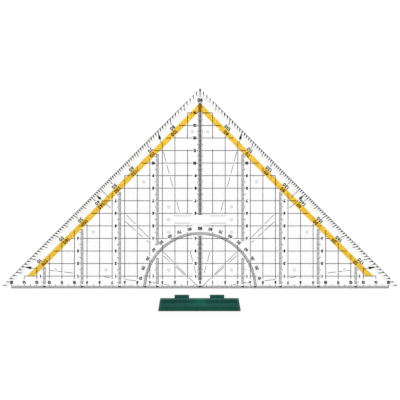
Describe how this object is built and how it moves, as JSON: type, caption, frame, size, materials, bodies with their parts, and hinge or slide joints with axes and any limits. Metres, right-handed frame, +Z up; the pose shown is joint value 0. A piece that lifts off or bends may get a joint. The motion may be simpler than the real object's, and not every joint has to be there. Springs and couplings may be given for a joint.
{
  "type": "geometry triangle",
  "caption": "Clear right-angled geometry triangle with printed ruler, protractor, grid and angle guides, and a loose green handle whose lugs clip into a slot in the plate.",
  "frame": {"origin": "the zero mark in the middle of the long edge, on the paper that the nubs rest on", "axes": "+X along the long edge, +Y from the long edge to the right-angled apex, +Z up off the paper"},
  "size_m": [0.3188, 0.1777, 0.009],
  "materials": {
    "clear_plastic": "clear and polished",
    "green_plastic": "satin moulded",
    "black_ink": "printed",
    "orange_ink": "printed"
  },
  "bodies": {
    "triangle": {"plate": "clear_plastic", "stripe_left": "orange_ink", "stripe_right": "orange_ink", "grid_rows": "black_ink", "grid_columns": "black_ink", "long_edge_scale": "black_ink", "leg_scale_left": "black_ink", "leg_scale_right": "black_ink", "arc_scale": "black_ink", "centre_scale": "black_ink", "column_left_3": "black_ink", "column_left_6": "black_ink", "column_left_9": "black_ink", "column_left_12": "black_ink", "column_right_3": "black_ink", "column_right_6": "black_ink", "column_right_9": "black_ink", "column_right_12": "black_ink", "guide_rays_left": "black_ink", "guide_rays_right": "black_ink", "pointers_left": "black_ink", "pointers_right": "black_ink", "index_marks": "black_ink"},
    "grip": {"handle": "green_plastic"}
  },
  "joints": [
    {"name": "handle_lift", "type": "slide", "parent": "triangle", "child": "grip", "axis": [0, 0, 1], "range_m": [0, 0.06]}
  ]
}
